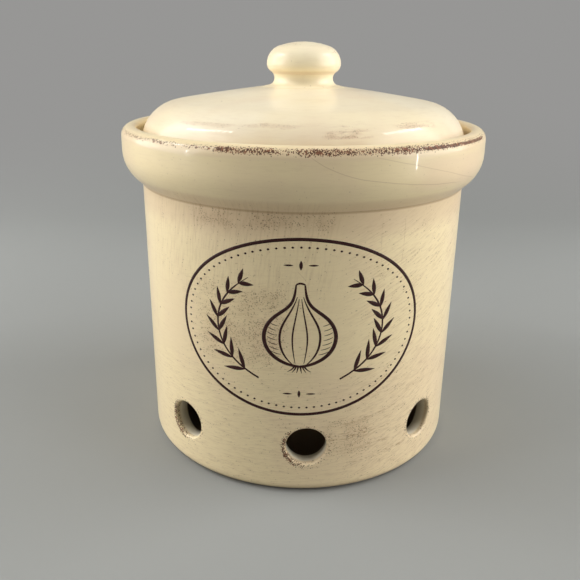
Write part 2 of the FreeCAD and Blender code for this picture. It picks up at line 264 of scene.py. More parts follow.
def open_patch(bm, heading, radius_at, half_height):
    """Round one vent's patch on one skin and delete its middle; returns the hole's edges."""
    ring = {}
    for vert in bm.verts:
        level, across, up = patch_place(vert, heading, radius_at, half_height)
        if level < 1.01:
            ring[vert] = (level, across, up)
    inner = [face for face in bm.faces
             if all(v in ring for v in face.verts)
             and sum(ring[v][0] for v in face.verts) / len(face.verts) < HOLE_LEVEL - 0.02]
    bmesh.ops.delete(bm, geom=inner, context="FACES")
    kept = {v: place for v, place in ring.items() if v.is_valid and v.link_faces}
    for vert, (level, across, up) in kept.items():
        if level > 0.99:
            continue
        height = vert.co.z / MM
        side, rise = ring_point(level, across, up, radius_at(height), half_height)
        height = VENT_HEIGHT + rise
        radius = radius_at(height)
        turn = heading + math.asin(side / radius)
        vert.co = Vector((math.cos(turn) * radius, math.sin(turn) * radius, height)) * MM
    return [edge for edge in bm.edges if edge.is_boundary and all(v in kept for v in edge.verts)]


for vent in range(VENT_COUNT):
    heading = -math.pi / 2 + math.tau * vent / VENT_COUNT
    outer_hole = open_patch(pot, heading, outside_radius, OUTER_PATCH)
    inner_hole = open_patch(pot, heading, inside_radius, INNER_PATCH)
    bmesh.ops.bridge_loops(pot, edges=outer_hole + inner_hole)
    bmesh.ops.bevel(pot, geom=outer_hole, offset=VENT_EDGE * MM, offset_type="OFFSET", segments=5,
                    profile=0.5, affect="EDGES", material=-1, clamp_overlap=False)
    print("vent", vent, "opened with", len(outer_hole), "and", len(inner_hole), "edges")
bmesh.ops.recalc_face_normals(pot, faces=pot.faces)
print("open edges left on the pot:", sum(1 for edge in pot.edges if not edge.is_manifold))
jar_pot = finished(pot, "jar_pot", "jar", "jar_glaze", "jar")

# %% [markdown]
# ## The lid
#
# The lid is a low, nearly straight cone with a wide round shoulder, cast hollow, so its inside
# follows its outside one wall's thickness in. In section the slope is a very large arc that
# starts at the edge of the knob's flat seat and runs into the shoulder's small arc without a
# kink. Two circles touch where their centres and the touching point are in line, which is how
# the large arc's centre is found.


# %% Spin the lid
shoulder = Vector((LID_RADIUS - SHOULDER_ROUND, SEAT_HEIGHT + LID_SIDE))
knob_seat = Vector((KNOB_FOOT, KNOB_BASE))
apart = (knob_seat - shoulder).length
towards = (knob_seat - shoulder) / apart
to_shoulder = TOP_ROUND - SHOULDER_ROUND
along = (to_shoulder ** 2 - TOP_ROUND ** 2 + apart ** 2) / (2 * apart)
top_centre = shoulder + towards * along + Vector((-towards.y, towards.x)) * math.sqrt(
    to_shoulder ** 2 - along ** 2)


def angle_to(centre, point):
    return math.atan2(point[1] - centre[1], point[0] - centre[0])


meet = angle_to(top_centre, shoulder)
crest = angle_to(top_centre, knob_seat)
inner_crest = math.acos((KNOB_FOOT - top_centre.x) / (TOP_ROUND - LID_WALL))
SLOPE_STEPS = 24


def slope_arc(radius, start, end):
    turns = [start + (end - start) * i / SLOPE_STEPS for i in range(SLOPE_STEPS + 1)]
    return [(top_centre.x + radius * math.cos(a), top_centre.y + radius * math.sin(a))
            for a in turns]


LID_EDGE = 0.8
standing = rounded([
    (LID_RADIUS - LID_WALL, shoulder.y, 0),
    (LID_RADIUS - LID_WALL, SEAT_HEIGHT, LID_EDGE),
    (LID_RADIUS, SEAT_HEIGHT, LID_EDGE),
    (LID_RADIUS, shoulder.y, 0),
], ROW)
outer_arcs = arc_points(shoulder, SHOULDER_ROUND, 0, meet) + slope_arc(TOP_ROUND, meet, crest)[1:]
inner_arcs = slope_arc(TOP_ROUND - LID_WALL, inner_crest, meet)
inner_arcs += arc_points(shoulder, SHOULDER_ROUND - LID_WALL, meet, 0)[1:]
ceiling = inner_arcs[0]
lid_section = divided([(0, ceiling[1]), *inner_arcs, *standing[1:], *outer_arcs[1:],
                       (0, KNOB_BASE)], 2.5)
lid_cover = finished(spun(lid_section, 192), "lid_cover", "lid", "lid_glaze", "lid")
slope = math.pi / 2 - crest
print("the lid leaves the knob's seat sloping", round(math.degrees(slope), 1), "degrees")

# %% [markdown]
# ## The knob
#
# The knob is turned solid: a hollow waist, a round head and a low crown, drawn as four arcs
# that run into each other smoothly. It is taken to be luted on with slip and wiped down until
# no seam shows, though a lid cast in one with its knob looks the same. So its waist does not
# stop at the solid's foot but leaves it along the lid's own slope and feathers out on the lid
# a little further on.


# %% Spin the knob
waist = (KNOB_FOOT, KNOB_BASE + KNOB_EDGE + KNOB_WAIST)
under_radius = KNOB_RADIUS - KNOB_UNDER
widest = waist[1] + math.sqrt((KNOB_WAIST + KNOB_UNDER) ** 2 - (KNOB_FOOT - under_radius) ** 2)
under, side = (under_radius, widest), (KNOB_RADIUS - KNOB_SIDE, widest)
crown = (0, widest - math.sqrt((KNOB_CROWN - KNOB_SIDE) ** 2 - side[0] ** 2))
neck_turn = angle_to(under, waist)
crown_turn = angle_to(crown, side)
FEATHER, FEATHER_DIP = 2.6, 0.05
feather_edge = (KNOB_FOOT + FEATHER, KNOB_BASE - FEATHER * math.tan(slope) - FEATHER_DIP)
knob_section = [(0, KNOB_BASE - 2 * FEATHER_DIP), feather_edge]
knob_section += arc_points(waist, KNOB_WAIST, -math.pi / 2 - slope, neck_turn - math.pi)
knob_section += arc_points(under, KNOB_UNDER, neck_turn, 0)[1:]
knob_section += arc_points(side, KNOB_SIDE, 0, crown_turn)[1:]
knob_section += arc_points(crown, KNOB_CROWN, crown_turn, math.pi / 2)[1:]
lid_knob = finished(spun(divided(knob_section, 1.0), 128), "lid_knob", "lid", "lid_glaze", "knob")
print("the knob's crown stands", round(crown[1] + KNOB_CROWN, 1), "mm high")

# %% [markdown]
# ## Shader maths as plain expressions
#
# A glaze is worked out from where a point lies: its height, its distance from the axis, its
# heading round the pot. Written as nodes by hand that is unreadable, so one small class wraps
# a socket and turns `a * b + c` into Math nodes, and one method makes any other node.
#
# The worn look comes from three patterns: round specks, ragged crumbs that crowd together where
# a mask says so, and long streaks of a brush. Crumbs are cells of a Voronoi pattern that each
# draw a lot, and the mask decides how many of them win.


# %% Socket class and node maker
class Value:
    """A number or vector that varies over a surface; arithmetic on it adds Math nodes."""

    def __init__(self, glaze, socket):
        self.glaze, self.socket = glaze, socket

    def __add__(self, other):
        return self.glaze.math("ADD", self, other)

    __radd__ = __add__

    def __mul__(self, other):
        return self.glaze.math("MULTIPLY", self, other)

    __rmul__ = __mul__

    def __sub__(self, other):
        return self.glaze.math("SUBTRACT", self, other)

    def __rsub__(self, other):
        return self.glaze.math("SUBTRACT", other, self)

    def __pow__(self, other):
        return self.glaze.math("POWER", self, other)

    def __neg__(self):
        return self.glaze.math("MULTIPLY", self, -1.0)


class Graph:
    """One material's nodes, with the point's place in millimetres ready to use."""

    def __init__(self, name):
        self.material = bpy.data.materials.new(name)
        self.material.use_nodes = True
        self.tree = self.material.node_tree
        self.tree.nodes.clear()
        place = self.node("ShaderNodeTexCoord", {}, {}, "Object")
        self.place = self.node("ShaderNodeVectorMath", {"operation": "SCALE"},
                               {0: place, "Scale": 1 / MM}, 0)
        self.x, self.y, self.z = (self.node("ShaderNodeSeparateXYZ", {}, {0: self.place}, axis)
                                  for axis in "XYZ")
        self.radius = (self.x * self.x + self.y * self.y) ** 0.5
        self.heading = self.math("ARCTAN2", self.x, -self.y) * (180 / math.pi)

    def node(self, kind, settings, inputs, output=0):
        """Any node: settings first, then the values or links of its sockets."""
        node = self.tree.nodes.new(kind)
        for name, value in settings.items():
            setattr(node, name, value)
        for name, value in inputs.items():
            if isinstance(value, Value):
                self.tree.links.new(value.socket, node.inputs[name])
            else:
                node.inputs[name].default_value = value
        return Value(self, node.outputs[output]) if len(node.outputs) else node

    def math(self, operation, *values):
        return self.node("ShaderNodeMath", {"operation": operation}, dict(enumerate(values)))

    def step(self, value, low, high):
        """0 where the value is below low, 1 above high, and smooth between."""
        return self.node("ShaderNodeMapRange", {"interpolation_type": "SMOOTHSTEP"},
                         {"Value": value, "From Min": low, "From Max": high})

    def band(self, value, centre, half, soft):
        """1 where the value lies within half of the centre, fading over soft."""
        away = self.math("ABSOLUTE", value - centre)
        return 1 - self.step(away, half, half + soft)

    def patch(self, across, up):
        """1 inside a patch of the wall; each side gives a centre, a half size and a soft edge."""
        return self.band(self.heading, *across) * self.band(self.z, *up)

    def most(self, *values):
        """The largest of several masks."""
        top = values[0]
        for value in values[1:]:
            top = self.math("MAXIMUM", top, value)
        return top

    def capped(self, value):
        return self.math("MINIMUM", value, 1.0)

    def lengthwise(self, stretch):
        """The place squeezed sideways, which draws a pattern out level round the piece."""
        return self.node("ShaderNodeVectorMath", {"operation": "MULTIPLY"},
                         {0: self.place, 1: (1 / stretch, 1 / stretch, 1.0)})

    def noise(self, size, detail=3.0, place=None, rough=0.5, offset=0.0):
        """Cloudy noise from 0 to 1 whose blotches are about this many millimetres across."""
        where = self.node("ShaderNodeVectorMath", {"operation": "ADD"},
                          {0: place or self.place, 1: (offset, offset, offset)})
        return self.node("ShaderNodeTexNoise", {},
                         {"Vector": where, "Scale": 1 / size, "Detail": detail,
                          "Roughness": rough})

    def specks(self, spacing, size, keep, offset=0.0):
        """Round specks of up to this radius, on the share of spots that is kept."""
        where = self.node("ShaderNodeVectorMath", {"operation": "ADD"},
                          {0: self.place, 1: (offset, offset, offset)})
        spots = {"Vector": where, "Scale": 1 / spacing}
        away = self.node("ShaderNodeTexVoronoi", {}, spots, "Distance") * spacing
        lot = self.node("ShaderNodeSeparateColor", {},
                        {0: self.node("ShaderNodeTexVoronoi", {}, spots, "Color")}, "Red")
        radius = self.step(lot, 1 - keep, 1.0) * size
        return 1 - self.step(away - radius, -0.12 * size, 0.12 * size)

    def crumbs(self, size, density, tall=1.0, offset=0.0):
        """Ragged crumbs about this many millimetres across, on a share of places that may vary."""
        where = self.node("ShaderNodeVectorMath", {"operation": "MULTIPLY_ADD"},
                          {0: self.place, 1: (1.0, 1.0, 1 / tall), 2: (offset, offset, offset)})
        spots = {"Vector": where, "Scale": 1 / size}
        lot = self.node("ShaderNodeSeparateColor", {},
                        {0: self.node("ShaderNodeTexVoronoi", {}, spots, "Color")}, "Red")
        return self.step(lot + density, 1.0, 1.02)

    def streaks(self, tilt, size, stretch, offset):
        """Brush streaks on the wall, from 0 to 1, that rise to the right by this many degrees."""
        turn, across = math.radians(tilt), self.heading * (BASE_RADIUS * math.pi / 180)
        along = across * math.cos(turn) + self.z * math.sin(turn)
        above = self.z * math.cos(turn) - across * math.sin(turn)
        where = self.node("ShaderNodeCombineXYZ", {},
                          {0: along * (1 / stretch), 1: above, 2: offset})
        return self.step(self.noise(size, 3.0, where, rough=0.6), 0.44, 0.70)

    def mix(self, factor, first, second):
        """Colour or number between two others."""
        colour = {"data_type": "RGBA", "clamp_factor": True}
        return self.node("ShaderNodeMix", colour, {"Factor": factor, 6: first, 7: second}, 2)

    def surface(self, fixed, varying, bumps=()):
        """The shader: fixed sockets, varying sockets and a chain of bumps of distance in mm."""
        normal = None
        for height, distance in bumps:
            inputs = {"Height": height, "Distance": distance * MM, "Strength": 1.0}
            if normal:
                inputs["Normal"] = normal
            normal = self.node("ShaderNodeBump", {}, inputs, "Normal")
        inputs = {**fixed, **varying}
        if normal:
            inputs["Normal"] = normal
        shader = self.node("ShaderNodeBsdfPrincipled", {}, inputs, "BSDF")
        self.node("ShaderNodeOutputMaterial", {}, {"Surface": shader})
        return self.material


# %% [markdown]
# ## The cream glaze
#
# Every piece is glazed in the same way. Its own base colour drifts towards cream and clouds
# over with a pinker tone, faint level marks come from the brush and the wheel, and a thin
# clear coat gives the gloss. Where the glaze was rubbed back before firing, the brown slip
# underneath shows, so each piece passes in three masks: rub for slip that shows, pinkish_tint
# for a pinkish tone and dirt_and_shade for tan. The last two carry real stains and dirt, and
# in some places painted shade as well. The gloss dulls a little where it is rubbed.

# %% Glaze colours and the shared glaze
CREAM = (0.86, 0.71, 0.435, 1)
IVORY = (0.89, 0.79, 0.585, 1)
PALE = (0.95, 0.85, 0.61, 1)
PAINTED_BORE_LIGHT = (0.95, 0.86, 0.66, 1)
PINKISH = (0.77, 0.58, 0.40, 1)
TAN = (0.50, 0.34, 0.19, 1)
RUST = (0.27, 0.095, 0.045, 1)
UMBER = (0.070, 0.022, 0.011, 1)
INSIDE_SHADE_BROWN = (0.17, 0.11, 0.060, 1)
BISQUE = (0.66, 0.53, 0.39, 1)


def cream_glaze(graph, base, rub, pinkish_tint, dirt_and_shade):
    """Colour, roughness and bumps of the glaze, from the masks of where it is worn, stained or
    painted with shade.
    """
    drift = graph.step(graph.noise(34, 2.0), 0.38, 0.66)
    colour = graph.mix(drift * 0.5, base, CREAM)
    cloud = graph.step(graph.noise(19, 3.0, offset=71), 0.46, 0.70)
    colour = graph.mix(cloud * 0.26, colour, PINKISH)
    brushed = graph.noise(0.55, 3.0, graph.lengthwise(9), rough=0.6, offset=7)
    colour = graph.mix(graph.step(brushed, 0.46, 0.74) * 0.09, colour, TAN)
    colour = graph.mix(pinkish_tint, colour, PINKISH)
    colour = graph.mix(dirt_and_shade, colour, TAN)
    slip = graph.mix(graph.step(graph.noise(0.8, 2.0, offset=9), 0.42, 0.72), UMBER, RUST)
    colour = graph.mix(rub, colour, slip)
    roughness = 0.30 + rub * 0.35 + dirt_and_shade * 0.12
    ripple = graph.noise(11, 2.0, offset=11)
    peel = graph.noise(1.6, 2.0, offset=5)
    return colour, roughness, [(ripple, 0.09), (peel, 0.006), (rub, -0.02)]


GLOSS = {"IOR": 1.28, "Coat Roughness": 0.04}
LID_COAT, KNOB_COAT, JAR_COAT = 0.2, 0.22, 0.28

# %% [markdown]
# ## Wear, painted light and painted shade on the jar
#
# The rim rubs most: brown crumbs crowd along the lip's outer edge, dense in front and sparse
# elsewhere, and close up into one thin stroke on the right. The vents have rubbed edges too,
# heavier on one side. The brush ran another way in each part of the wall, and its streaks
# still hold some of the brown slip. There are clusters of fine specks below the crease and in
# the print, a few upright hairlines, level scores low on the right and two long cracks of the
# glaze across the band. Each of these is a mask: 1 where the mark is and 0 elsewhere.
# The vents' bores are painted pale cream, as painted light, and the inside is painted dark
# brown, as painted shade. Painted shade also darkens the wall under the band, the crease, the
# bottom edge and the rim's inner wall behind the lid. The foot ring underneath is bare,
# because a pot that stands on its glaze would fuse to the kiln shelf.


# %% Rubbed lip and vents
def vent_offset(graph):
    """How far a point of the wall lies sideways and upwards from its nearest vent's centre."""
    spacing = 360 / VENT_COUNT
    folded = graph.math("WRAP", graph.heading, spacing / 2, -spacing / 2)
    return folded * (math.pi / 180) * graph.radius, graph.z - VENT_HEIGHT


LIP_EDGE_RADIUS, LIP_EDGE_HEIGHT = 60.5, 110.35
# Each run of rubbing has a heading and a half width in degrees, and an amount.
LIP_RUBS = [(-17, 5, 0.38), (-3, 4, 0.14), (12, 12, 0.44), (31, 6, 0.26), (-45, 22, 0.12)]
# A patch has a heading and a height, each with a half size and a soft edge.
LIP_STROKE = ((47, 14, 5), (110.1, 0.25, 0.3))
LIGHTLY_RUBBED_VENT = (45, 18, 4)


def lip_rubbing(graph):
    """How strongly the lip's outer edge is rubbed: most along the front, in uneven runs."""
    outwards, upwards = graph.radius - LIP_EDGE_RADIUS, graph.z - LIP_EDGE_HEIGHT
    from_edge = (outwards ** 2.0 + upwards ** 2.0) ** 0.5
    rubbed = 0.16 + graph.step(graph.noise(7, 3.0, offset=21), 0.40, 0.66) * 0.24
    for heading, half, amount in LIP_RUBS:
        rubbed = rubbed + graph.band(graph.heading, heading, half, 5) * amount
    reach = 1.1 + graph.step(graph.heading, -34, -20) * 0.6
    return rubbed * (1 - graph.step(from_edge, 0.1, reach))


def lip_wear(graph, rubbing):
    """The broken brown line along the lip's outer edge, and the solid stroke on its right."""
    grains = graph.crumbs(0.25, rubbing, tall=1.8)
    stroke = graph.patch(*LIP_STROKE) * graph.step(graph.radius, 59.6, 60.0)
    return graph.most(grains, graph.crumbs(0.35, stroke * 0.95, offset=25))


def vent_wear(graph):
    """Rubbed edges of the vents: heaviest at the lower left, and nearly none on the right."""
    sideways, upwards = vent_offset(graph)
    from_edge = graph.math("ABSOLUTE", (sideways ** 2.0 + upwards ** 2.0) ** 0.5
                           - VENT_RADIUS - 0.8)
    lower_left = graph.step(-sideways * 0.85 - upwards * 0.35, 1.5, 5.6)
    right_vent = graph.band(graph.heading, *LIGHTLY_RUBBED_VENT)
    rubbed = 0.10 + lower_left * 0.65 * (1 - right_vent * 0.9)
    return graph.crumbs(0.30, rubbed * (1 - graph.step(from_edge, 0.1, 1.25)), offset=23)


# %% Scores, cracks and brush streaks
# A score has a heading, a half width, a height and a lean in millimetres for each degree.
DRAG_MARKS = [(14, 6, 21.6, 0.06), (12, 4, 19.4, 0.0), (21.5, 7.5, 26.4, 0.18),
              (22, 6.5, 20.8, 0.07), (25, 3, 16.0, 0.0), (41, 3, 14.6, 0.0),
              (35, 6, 11.9, 0.03), (25, 9, 10.9, 0.08)]
# A hairline has a heading, a lean in degrees for each millimetre, a height and a half height.
HAIRLINES = [(-37.3, 0.0, 88, 4), (-28, 0.05, 89.5, 3), (22, -0.05, 84, 5), (30, 0.04, 83, 5),
             (-4.8, -0.94, 77, 2.6), (-62, 0.08, 66, 20)]
# One crack of the band falls steeply and then runs out level, the other is straight.
CURVED_LEVEL, CURVED_DROP, CURVED_START = 96, 206, -16.7
STRAIGHT_HEIGHT, STRAIGHT_HEADING, STRAIGHT_FALL = 108.2, 17.6, 0.236


def drag_marks(graph):
    """Short level scores that the brush left low on the right; each has its own lean."""
    marks = 0
    for heading, half, height, lean in DRAG_MARKS:
        across = graph.band(graph.heading, heading, half, 3)
        above = graph.z - height - (graph.heading - heading) * lean
        marks = marks + across * graph.band(above, 0, 0.15, 0.35)
    return marks * graph.step(graph.noise(0.5, 3.0, graph.lengthwise(3), offset=51), 0.42, 0.60)


def hairlines(graph, band_side):
    """Fine cracks of the glaze: short upright ones on the wall, two long ones on the band."""
    wander = (graph.noise(14, 3.0, offset=61) - 0.5) * 2.5
    cracks = 0
    for heading, lean, height, half in HAIRLINES:
        away = graph.heading - heading - (graph.z - height) * lean - wander * 0.6
        cracks = cracks + graph.band(away, 0, 0.04, 0.12) * graph.band(graph.z, height, half, 3)
    cracks = cracks * graph.step(graph.noise(3, 3.0, offset=63), 0.34, 0.60)
    falling = CURVED_LEVEL + CURVED_DROP * graph.most(graph.heading - CURVED_START, 4.0) ** -1.0
    curved = graph.band(graph.z - falling - wander * 0.35, 0, 0.05, 0.12)
    curved = curved * graph.band(graph.heading, 22, 20, 8)
    slanting = STRAIGHT_HEIGHT - (graph.heading - STRAIGHT_HEADING) * STRAIGHT_FALL
    straight = graph.band(graph.z - slanting - wander * 0.35, 0, 0.05, 0.12)
    straight = straight * graph.band(graph.heading, 38, 18, 8) * 0.8
    return cracks * (1 - band_side) + (curved + straight) * band_side


# A brushing has its tilt, the size, stretch and offset of its streaks, a patch and an amount.
BRUSHINGS = [(24, 0.45, 9, 3, (42, 20, 18), (44, 38, 16), 0.34),
             (82, 0.60, 9, 4, (-26, 26, 14), (82, 9, 12), 0.22),
             (3, 0.40, 8, 5, (-8, 48, 20), (20, 15, 12), 0.26),
             (8, 0.45, 7, 6, (-20, 16, 14), (56, 12, 10), 0.20),
             (12, 0.45, 9, 7, (125, 28, 16), (46, 34, 16), 0.28),
             (-16, 0.45, 9, 8, (-115, 34, 18), (52, 34, 16), 0.28)]


def brushing(graph):
    """Slip left in the brush's streaks, which ran another way in each part of the wall."""
    left = 0
    for tilt, size, stretch, offset, across, up, amount in BRUSHINGS:
        left = left + graph.streaks(tilt, size, stretch, offset) * graph.patch(across, up) * amount
    return left


# %% Jar glaze
PIN_PATCHES = [((-15, 18, 7), (90.3, 1.2, 2.2)), ((-22, 11, 7), (58, 9, 6)),
               ((-29, 4, 4), (53, 3, 3)), ((13, 5, 5), (20, 4, 4)),
               ((150, 12, 10), (64, 10, 9)), ((-118, 14, 8), (26, 6, 6))]


def jar_glaze():
    graph = Graph("jar_cream_glaze")
    outside = graph.step(graph.radius, BASE_RADIUS - 2.2, BASE_RADIUS - 1.2)
    band_side = graph.step(graph.radius, 58.5, 59.5)
    brushed = brushing(graph) * (1 - band_side)

    zones = graph.most(*(graph.patch(*patch) for patch in PIN_PATCHES))
    crowd = zones * graph.step(graph.noise(6, 3.0, offset=33), 0.24, 0.62)
    peppered = graph.crumbs(0.26, 0.01 + crowd * 0.14 + brushed * 0.14, offset=35) * 0.5
    pins = graph.specks(2.2, 0.24, 0.45) * graph.step(crowd, 0.10, 0.8)
    pinholes = graph.most(pins, graph.specks(8.0, 0.26, 0.30, offset=40)) * 0.75
    rubbing = lip_rubbing(graph)
    worn = graph.most(lip_wear(graph, rubbing) * 0.92, vent_wear(graph) * 0.92, pinholes, peppered)

    halo = graph.band(graph.z, 109.2, 0.5, 1.2) * band_side * 0.35
    lower_right = graph.patch((32, 26, 18), (22, 12, 18)) * 0.3
    above_crease = graph.patch((45, 10, 12), (103, 3, 3)) * 0.5
    # Painted shade: the wall under the overhanging band is tinted pinker and tanner, for the shade
    # that the band casts on it.
    shade_under_band = graph.band(graph.z, 91.5, 2.5, 6) * (1 - band_side)
    pinkish_tint = graph.capped(halo + lower_right + above_crease + shade_under_band * 0.35)
    # Painted shade: a thin tan line in the crease under the band, and a tan strip along the bottom
    # edge where the pot meets the floor.
    crease = graph.band(graph.z, NECK_HEIGHT - 0.1, 0.1, 0.5) * (1 - band_side) * 0.55
    foot_contact_shade = (1 - graph.step(graph.z, 0.8, 2.6)) * 0.45
    # The tan mask holds real dirt (drag marks, specks, brush streaks, rubbing, hairlines) and
    # painted shade (crease, bottom edge, under the band).
    dirt_and_shade = graph.capped(drag_marks(graph) * 0.5 + crease + foot_contact_shade + crowd * 0.22 + brushed
                        + shade_under_band * 0.2 + rubbing * 0.8 + hairlines(graph, band_side) * 0.4)
    colour, roughness, bumps = cream_glaze(graph, CREAM, worn * outside, pinkish_tint * outside,
                                           dirt_and_shade * outside)

    # Painted light: the vents' bores are painted pale cream, for the light that falls into them.
    bore = (1 - outside) * graph.band(graph.z, VENT_HEIGHT, VENT_RADIUS, 1.0)
    colour = graph.mix(bore, colour, PAINTED_BORE_LIGHT)

    # Painted shade: the inside of the jar is painted dark brown, for the shade inside the closed
    # jar.
    below_seat = 1 - graph.step(graph.z, SEAT_HEIGHT - 0.8, SEAT_HEIGHT - 0.1)
    inside = (1 - graph.step(graph.radius, 50.9, 51.5)) * graph.step(graph.z, 5.5, 6.0) * below_seat
    colour = graph.mix(inside, colour, INSIDE_SHADE_BROWN)
    # Painted shadow: the rim's inner wall just above the seat is blotched rust brown, for the
    # shadow in the gap between lid and rim.
    behind_lid = graph.step(graph.radius, 55.6, 56.0) * (1 - graph.step(graph.radius, 56.6, 57.2))
    lid_gap_shade = graph.step(graph.noise(2.2, 3.0, offset=77), 0.40, 0.62) * behind_lid
    lid_gap_shade = lid_gap_shade * graph.band(graph.z, 101.5, 1.5, 3.0)
    colour = graph.mix(lid_gap_shade * 0.7, colour, RUST)

    ragged = graph.noise(3, 3.0, offset=81)
    bare = 1 - graph.step(graph.z + (ragged - 0.5) * 0.8, 0.35, 0.6)
    clay = graph.mix(graph.step(graph.noise(0.7, 3.0, offset=83), 0.45, 0.7), BISQUE, TAN)
    colour = graph.mix(bare, colour, clay)
    roughness = roughness * (1 - bare) + bare * 0.85
    coat = JAR_COAT * (1 - bare) * (1 - worn * outside * 0.9)
    return graph.surface(GLOSS, {"Base Color": colour, "Roughness": roughness,
                                 "Coat Weight": coat}, bumps)


jar_pot.data.materials.append(jar_glaze())
print("jar glaze has", len(jar_pot.data.materials[0].node_tree.nodes), "nodes")


# %% [markdown]
# ## Wear and painted shade on the lid and knob
#
# The lid carries the lightest, cleanest glaze. Brown grains stayed where a cloth was wiped
# across its shoulder, and the face it stands on underneath is bare clay. The knob is lighter
# still, with a thin tan line of painted shade under its head, and a few rubbed grains.


# %% Lid and knob glazes
# A wipe has a patch and an amount.
WIPES = [((11, 5, 4), (113.6, 0.6, 0.8), 1.0), ((2, 12, 8), (115.2, 0.3, 0.9), 0.5),
         ((37, 6, 5), (114.9, 0.4, 0.8), 0.9), ((-18, 3, 4), (115.6, 0.3, 0.6), 0.6),
         ((-31, 12, 6), (115.0, 0.2, 0.6), 0.4), ((150, 30, 20), (114.5, 1.0, 1.5), 0.7)]


def lid_glaze():
    graph = Graph("lid_cream_glaze")
    wiped = graph.noise(1.3, 4.0, graph.lengthwise(6), rough=0.6, offset=13)
    zones = graph.most(*(graph.patch(across, up) * amount for across, up, amount in WIPES))
    wipe = graph.step(wiped, 0.40, 0.62) * zones
    grains = graph.crumbs(0.24, wipe * 0.30, offset=17) * 0.26
    spots = graph.specks(7.0, 0.26, 0.30, offset=19) * 0.6
    pinkish_tint = graph.capped(wipe * 0.6 + graph.band(graph.z, 112, 1.0, 3.0) * 0.18)
    rub = graph.most(grains, spots)
    colour, roughness, bumps = cream_glaze(graph, IVORY, rub, pinkish_tint, wipe * 0.32)
    bare = 1 - graph.step(graph.z, SEAT_HEIGHT + 0.15, SEAT_HEIGHT + 0.5)
    colour = graph.mix(bare, colour, BISQUE)
    roughness = roughness * (1 - bare) + bare * 0.85
    coat = LID_COAT * (1 - bare)
    return graph.surface(GLOSS, {"Base Color": colour, "Roughness": roughness,
                                 "Coat Weight": coat}, bumps)


def knob_glaze():
    graph = Graph("knob_cream_glaze")
    # Painted shade: a thin tan and pinkish line under the knob's head, for the shade beneath it.
    under_head_shade = graph.band(graph.z, waist[1] + 1.8, 0.2, 0.6)
    cloudy = graph.step(graph.noise(4.0, 3.0, offset=27), 0.48, 0.72)
    rub = graph.crumbs(0.32, cloudy * 0.05, offset=29) * 0.5
    pinkish_tint = graph.capped(under_head_shade * 0.25 + cloudy * 0.10)
    colour, roughness, bumps = cream_glaze(graph, PALE, rub, pinkish_tint, under_head_shade * 0.18)
    return graph.surface(GLOSS, {"Base Color": colour, "Roughness": roughness,
                                 "Coat Weight": KNOB_COAT}, bumps)


lid_cover.data.materials.append(lid_glaze())
lid_knob.data.materials.append(knob_glaze())

# %% [markdown]
# ## The printed oval
#
# The front carries a fired-on print in sepia: a heavy oval line with a ring of beads inside
# it, a garlic bulb in the middle and a leafy sprig at each side. Every stroke is a curve with
# a width at each point. Given a round bevel, converted to a mesh, pressed nearly flat and
# wrapped round the wall, it becomes a thin raised line of ink that is closed all round, as a
# real transfer is. The art is drawn flat, in millimetres from the oval's centre.

# %% Art helpers
PRINT_HEADING, PRINT_HEIGHT = -2.7, 57.4
OVAL_WIDE, OVAL_HIGH = 39.0, 28.1
INK_LIFT = 0.035
art = bpy.data.curves.new("print_art", "CURVE")
art.dimensions = "3D"
art.bevel_depth = 1.0
art.bevel_resolution = 1
art.use_fill_caps = True
art.resolution_u = 6


def stroke(points, widths, closed=False):
    """One smooth stroke through the art: places in mm and the line's half width at each."""
    spline = art.splines.new("NURBS")
    spline.points.add(len(points) - 1)
    for point, (across, up), half in zip(spline.points, points, widths):
        point.co = (across, up, 0, 1)
        point.radius = half
    spline.order_u = min(4, len(points))
    spline.use_cyclic_u = closed
    spline.use_endpoint_u = not closed


def both_sides(points, widths):
    stroke(points, widths)
    stroke([(-across, up) for across, up in points], widths)


def oval(wide, high, half, count):
    turns = [math.tau * i / count for i in range(count)]
    stroke([(wide * math.cos(a), high * math.sin(a)) for a in turns], [half] * count, True)


# %% Frame and beads
OVAL_POINTS = 64
oval(OVAL_WIDE, OVAL_HIGH, 0.50, OVAL_POINTS)
BEADS, BEAD_INSET = 84, 2.4
wide, high = OVAL_WIDE - BEAD_INSET, OVAL_HIGH - BEAD_INSET
steps = 2000
lengths = [0.0]
for i in range(steps):
    turn = math.tau * (i + 0.5) / steps
    lengths.append(lengths[-1] + math.hypot(wide * math.sin(turn), high * math.cos(turn)))
bead = 0
for i, run in enumerate(lengths[:-1]):
    if run >= bead * lengths[-1] / BEADS:
        turn = math.tau * i / steps
        across, up = wide * math.cos(turn), high * math.sin(turn)
        stroke([(across - 0.4, up), (across, up), (across + 0.4, up)], [0.05, 0.58, 0.05])
        bead += 1
print("beads", bead)

# %% Garlic bulb
both_sides([(1.3, 14.5), (1.6, 10.5), (3.0, 7.4), (8.6, 4.2), (11.6, -1.5), (9.6, -8.2),
            (3.8, -11.2), (0, -11.6)], [0.25, 0.42, 0.5, 0.55, 0.62, 0.62, 0.5, 0.4])
both_sides([(0.9, 10.8), (2.0, 7.2), (5.4, 2.4), (6.6, -3.0), (5.0, -8.4), (2.0, -11.0)],
           [0.10, 0.26, 0.34, 0.36, 0.32, 0.12])
both_sides([(0.35, 10.2), (0.9, 6.0), (2.2, 0.5), (2.5, -4.5), (1.3, -10.6)],
           [0.08, 0.20, 0.26, 0.26, 0.08])
stroke([(-1.35, 14.4), (-0.5, 15.4), (0.6, 14.9), (1.35, 14.6)], [0.2, 0.36, 0.36, 0.2])
for spread in (-2.6, -1.6, -0.6, 0.5, 1.5, 2.5):
    root_tip = (spread * 1.4, -13.9 + abs(spread) * 0.2)
    stroke([(spread * 0.6, -11.6), (spread * 0.9, -12.8), root_tip], [0.28, 0.20, 0.06])
